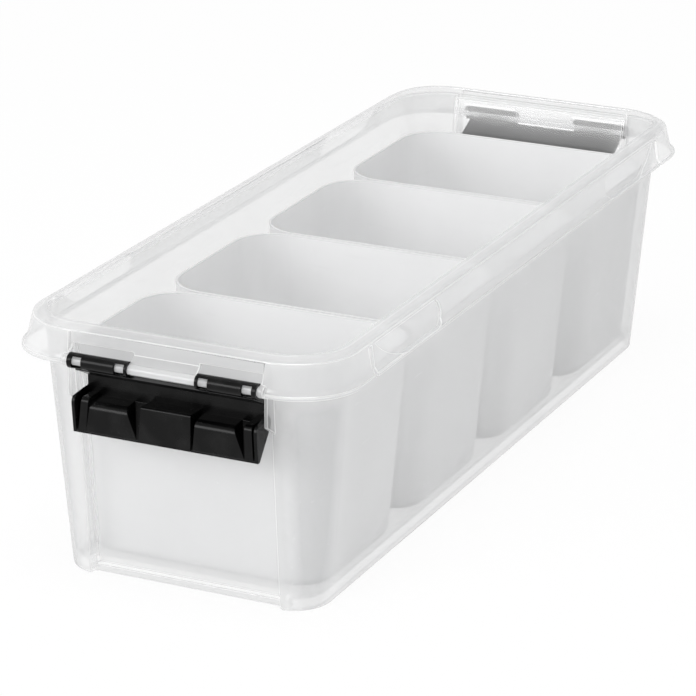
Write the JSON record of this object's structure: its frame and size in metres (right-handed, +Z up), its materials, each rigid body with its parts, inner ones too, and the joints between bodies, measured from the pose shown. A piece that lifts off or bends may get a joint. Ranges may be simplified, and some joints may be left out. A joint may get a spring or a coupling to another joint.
{
  "type": "storage box",
  "caption": "Long open-top see-through storage box with a flared rim, a row of white lift-out bins and a black latch clip hinged on a rod at each end.",
  "frame": {"origin": "on the floor, under the middle of the box", "axes": "+Z up, +Y along the box away from the clip end nearest in the picture, +X across it to the right"},
  "size_m": [0.1854, 0.5032, 0.14],
  "materials": {
    "clear_box": "see-through, slightly milky polypropylene, glossy",
    "black_clip": "black, smooth",
    "white_bin": "opaque white, fine satin"
  },
  "bodies": {
    "box": {"box_body": "clear_box"},
    "front_clip": {"front_clip": "black_clip"},
    "rear_clip": {"rear_clip": "black_clip"},
    "bin_1": {"bin_1": "white_bin"},
    "bin_2": {"bin_2": "white_bin"},
    "bin_3": {"bin_3": "white_bin"},
    "bin_4": {"bin_4": "white_bin"}
  },
  "joints": [
    {"name": "front_clip_hinge", "type": "hinge", "parent": "box", "child": "front_clip", "pos_m": [0, -0.2476, 0.1228], "axis": [-1, 0, 0], "range_deg": [0, 180]},
    {"name": "rear_clip_hinge", "type": "hinge", "parent": "box", "child": "rear_clip", "pos_m": [0, 0.2476, 0.1228], "axis": [1, 0, 0], "range_deg": [0, 180]},
    {"name": "bin_1_lift", "type": "slide", "parent": "box", "child": "bin_1", "axis": [0, 0, 1], "range_m": [0, 0.16]},
    {"name": "bin_2_lift", "type": "slide", "parent": "box", "child": "bin_2", "axis": [0, 0, 1], "range_m": [0, 0.16]},
    {"name": "bin_3_lift", "type": "slide", "parent": "box", "child": "bin_3", "axis": [0, 0, 1], "range_m": [0, 0.16]},
    {"name": "bin_4_lift", "type": "slide", "parent": "box", "child": "bin_4", "axis": [0, 0, 1], "range_m": [0, 0.16]}
  ]
}
